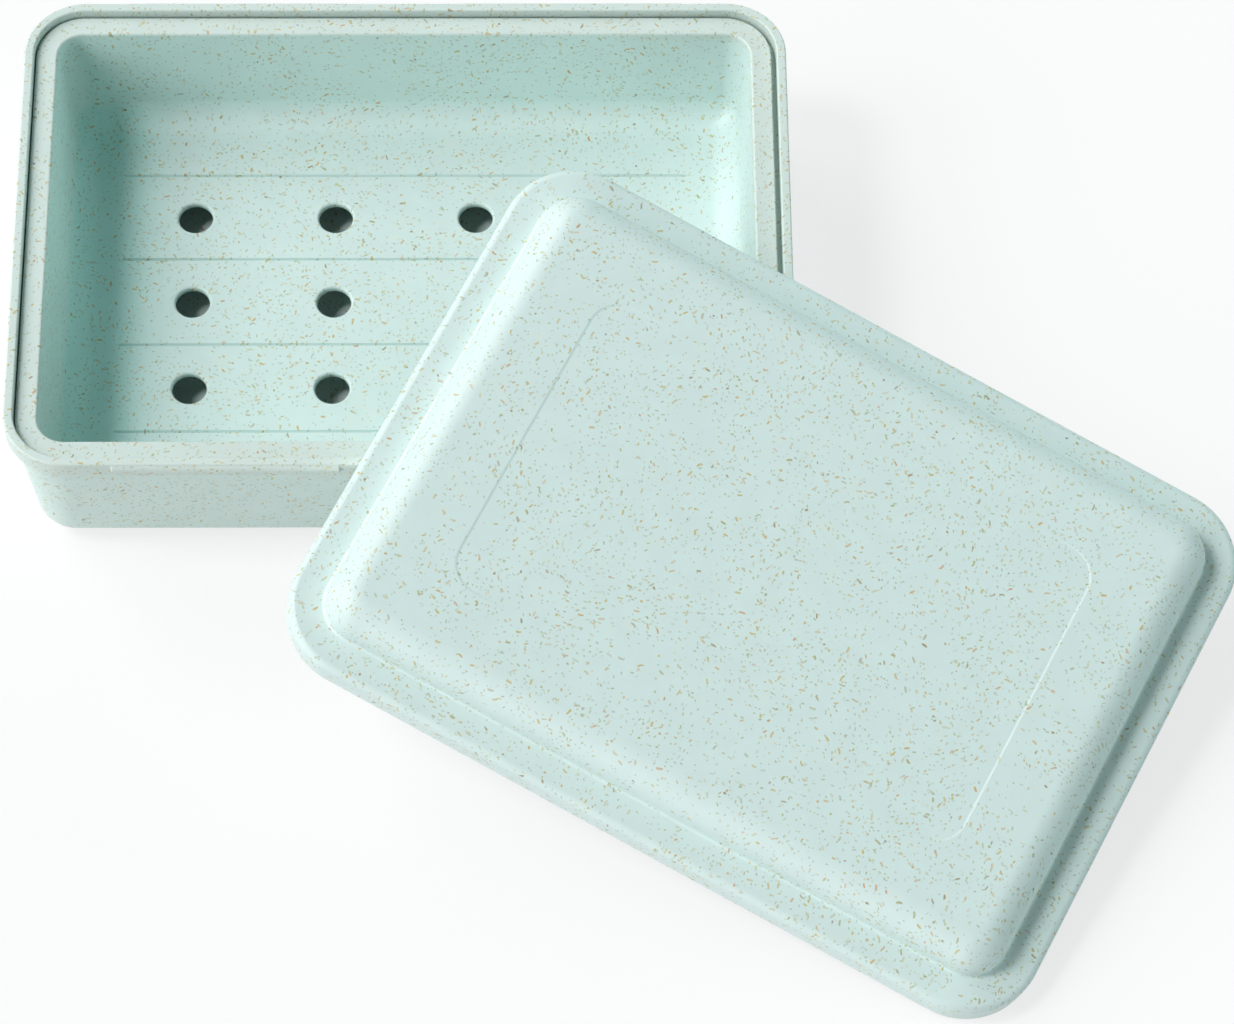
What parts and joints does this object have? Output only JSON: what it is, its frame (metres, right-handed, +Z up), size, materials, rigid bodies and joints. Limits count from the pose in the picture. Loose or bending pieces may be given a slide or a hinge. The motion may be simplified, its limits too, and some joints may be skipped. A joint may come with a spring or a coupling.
{
  "type": "soap box",
  "caption": "Rectangular travel soap box of speckled plastic: an open base, a perforated drain tray that lifts out, and a raised lid laid aside against the rim.",
  "frame": {"origin": "middle of the base's flat underside, which is what the box stands on", "axes": "+X along the box's length towards the side the lid leans over, -Y towards the viewer, +Z up out of the box"},
  "size_m": [0.1864, 0.1653, 0.0454],
  "materials": {
    "base_plastic": "satin, pale mint with fine ochre and brown flecks",
    "tray_plastic": "satin, pale mint with fine ochre and brown flecks",
    "lid_plastic": "satin, pale mint with fine ochre and brown flecks"
  },
  "bodies": {
    "base": {"base": "base_plastic"},
    "drain_tray": {"drain_tray": "tray_plastic"},
    "lid": {"lid": "lid_plastic"}
  },
  "joints": [
    {"name": "tray_lift", "type": "slide", "parent": "base", "child": "drain_tray", "axis": [0, 0, 1], "range_m": [0, 0.035]},
    {"name": "lid_lift", "type": "slide", "parent": "drain_tray", "child": "lid", "axis": [0, 0, 1], "range_m": [0, 0.04]}
  ]
}
